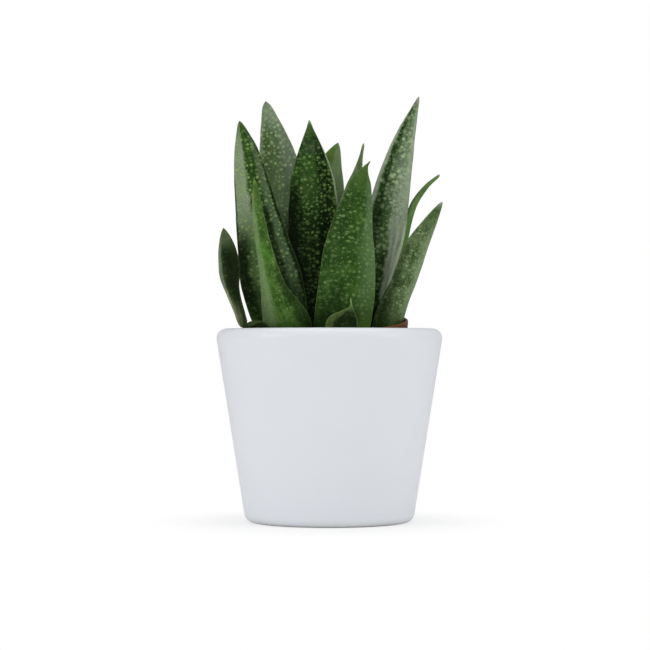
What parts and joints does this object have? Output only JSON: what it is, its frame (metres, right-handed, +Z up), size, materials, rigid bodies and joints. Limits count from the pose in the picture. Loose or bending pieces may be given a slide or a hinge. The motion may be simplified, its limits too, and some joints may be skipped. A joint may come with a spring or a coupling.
{
  "type": "potted gasteria plant",
  "caption": "Clump of tall, pointed, keeled gasteria leaves with pale spots, in a terracotta-coloured nursery pot inside a tapered white ceramic cover pot.",
  "frame": {"origin": "centre of the cover pot's foot ring, on the table", "axes": "+Z up along the cover pot's axis; the side usually seen faces -Y; +X is to the viewer's right"},
  "size_m": [0.0791, 0.0788, 0.15],
  "materials": {
    "ceramic": "satin",
    "plastic": "satin",
    "soil": "matte",
    "stem": "satin",
    "leaf": "satin"
  },
  "bodies": {
    "root": {"cover_pot": "ceramic", "nursery_pot": "plastic", "potting_soil": "soil", "crown_left": "stem", "crown_middle": "stem", "crown_right": "stem", "crown_offset": "stem", "leaf_left_low": "leaf", "leaf_left_tall": "leaf", "leaf_left_front": "leaf", "leaf_left_edge": "leaf", "leaf_left_back_tall": "leaf", "leaf_left_back_low": "leaf", "leaf_left_heart": "leaf", "leaf_middle_front": "leaf", "leaf_middle_tall": "leaf", "leaf_middle_spike": "leaf", "leaf_middle_back": "leaf", "leaf_middle_back_left": "leaf", "leaf_middle_back_right": "leaf", "leaf_middle_heart": "leaf", "leaf_right_tall": "leaf", "leaf_right_heart": "leaf", "leaf_right_low": "leaf", "leaf_right_curved": "leaf", "leaf_right_back": "leaf", "leaf_offset_back": "leaf", "leaf_offset_front": "leaf"}
  },
  "joints": []
}
